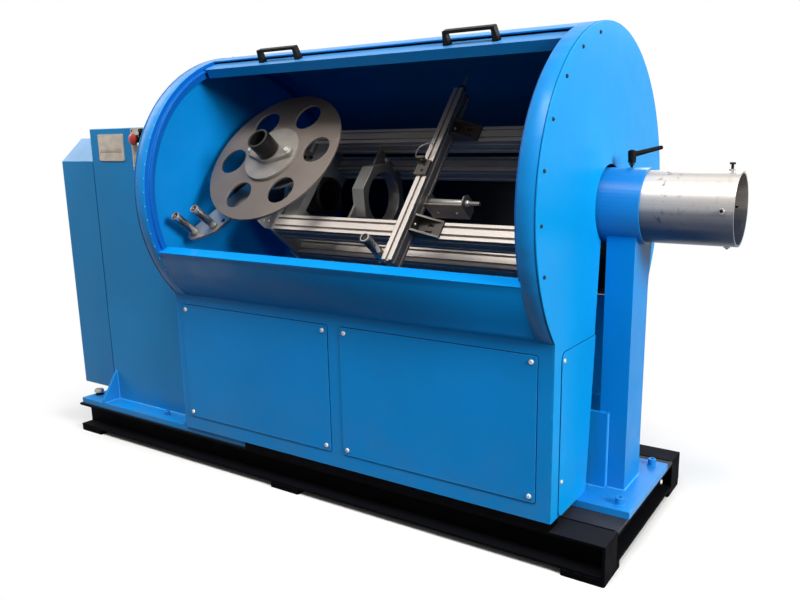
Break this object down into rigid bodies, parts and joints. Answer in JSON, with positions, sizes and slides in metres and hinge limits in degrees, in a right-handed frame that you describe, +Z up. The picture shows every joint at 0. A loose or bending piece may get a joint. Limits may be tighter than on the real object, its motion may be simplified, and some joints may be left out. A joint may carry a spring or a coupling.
{
  "type": "cable taping machine",
  "caption": "Floor-standing cable taping machine: a hooded rotor cage with a tape reel between a drive column and a support column with a guide tube, on a welded base frame.",
  "frame": {"origin": "middle of the machine's footprint on the floor", "axes": "+X along the rotor axis towards the guide tube, +Y to the rear, +Z up"},
  "size_m": [2.7, 1.024, 1.512],
  "materials": {
    "blue_paint": "glossy blue machine enamel with faint mottle",
    "black_paint": "black base paint, semi-matt",
    "beige_panel": "beige-grey satin plate",
    "black_plastic": "black moulded plastic",
    "red_plastic": "red moulded plastic",
    "stainless_steel": "turned stainless steel with drawn marks",
    "bright_steel": "machined and zinc plated steel",
    "dark_steel": "blackened steel",
    "rail_aluminium": "anodised slotted rail",
    "disc_grey": "warm grey satin disc"
  },
  "bodies": {
    "machine_frame": {"base_long_beams": "black_paint", "base_cross_beams": "black_paint", "foot_pads": "black_paint", "deck_plate": "black_paint", "cabinet_spacers": "black_paint", "drive_base_plate": "blue_paint", "drive_column": "blue_paint", "belt_guard": "blue_paint", "control_panel": "beige_panel", "control_switches": "black_plastic", "info_plate": "beige_panel", "cabinet_walls": "blue_paint", "front_panels": "blue_paint", "cabinet_floor": "blue_paint", "left_end_plate": "blue_paint", "right_end_plate": "blue_paint", "side_panels": "blue_paint", "left_rim": "blue_paint", "right_rim": "blue_paint", "lower_shell": "blue_paint", "rear_shell": "blue_paint", "support_base_plate": "blue_paint", "support_column": "blue_paint", "bearing_head": "blue_paint"},
    "stop_button": {"stop_button": "red_plastic"},
    "lid": {"lid_sheet": "blue_paint", "lid_handles": "black_plastic"},
    "guide_tube": {"guide_tube": "stainless_steel"},
    "clamp_lever": {"clamp_lever": "black_plastic"},
    "rotor": {"main_spindle": "dark_steel", "rotor_left_plate": "bright_steel", "rotor_right_plate": "bright_steel", "cage_rails": "rail_aluminium", "ring_plate": "bright_steel", "cross_arm": "rail_aluminium", "arm_fittings": "dark_steel", "tape_bracket": "bright_steel", "reel_carrier": "bright_steel"},
    "reel": {"reel_disc": "disc_grey", "reel_hub": "bright_steel", "reel_spindle": "dark_steel"},
    "tape_roller": {"tape_roller": "bright_steel"},
    "outer_roller": {"outer_roller": "bright_steel"},
    "inner_roller": {"inner_roller": "bright_steel"},
    "arm_roller": {"arm_roller": "bright_steel"}
  },
  "joints": [
    {"name": "rotor_spin", "type": "hinge", "parent": "machine_frame", "child": "rotor", "pos_m": [0, 0, 1], "axis": [1, 0, 0], "continuous": true},
    {"name": "reel_spin", "type": "hinge", "parent": "rotor", "child": "reel", "pos_m": [-0.192, -0.17564, 1.14223], "axis": [0, -0.7771, 0.6293], "continuous": true},
    {"name": "outer_roller_spin", "type": "hinge", "parent": "rotor", "child": "outer_roller", "pos_m": [-0.452, -0.32994, 0.87858], "axis": [0, -0.7771, 0.6293], "continuous": true},
    {"name": "inner_roller_spin", "type": "hinge", "parent": "rotor", "child": "inner_roller", "pos_m": [-0.378, -0.30854, 0.905], "axis": [0, -0.7771, 0.6293], "continuous": true},
    {"name": "arm_roller_spin", "type": "hinge", "parent": "rotor", "child": "arm_roller", "pos_m": [0.368, -0.29804, 0.83216], "axis": [0, -0.7771, 0.6293], "continuous": true},
    {"name": "tape_roller_spin", "type": "hinge", "parent": "rotor", "child": "tape_roller", "pos_m": [0.427, -0.1301, 0.99984], "axis": [1, 0, 0], "continuous": true},
    {"name": "lid_slide", "type": "hinge", "parent": "machine_frame", "child": "lid", "pos_m": [0, 0, 1], "axis": [1, 0, 0], "range_deg": [0, 81]},
    {"name": "tube_slide", "type": "slide", "parent": "machine_frame", "child": "guide_tube", "axis": [1, 0, 0], "range_m": [-0.1, 0.05]},
    {"name": "lever_turn", "type": "hinge", "parent": "machine_frame", "child": "clamp_lever", "pos_m": [1.041, 0, 1.12], "axis": [0, 0, 1], "range_deg": [-90, 80]},
    {"name": "stop_push", "type": "slide", "parent": "machine_frame", "child": "stop_button", "axis": [0, 1, 0], "range_m": [0, 0.005]}
  ]
}
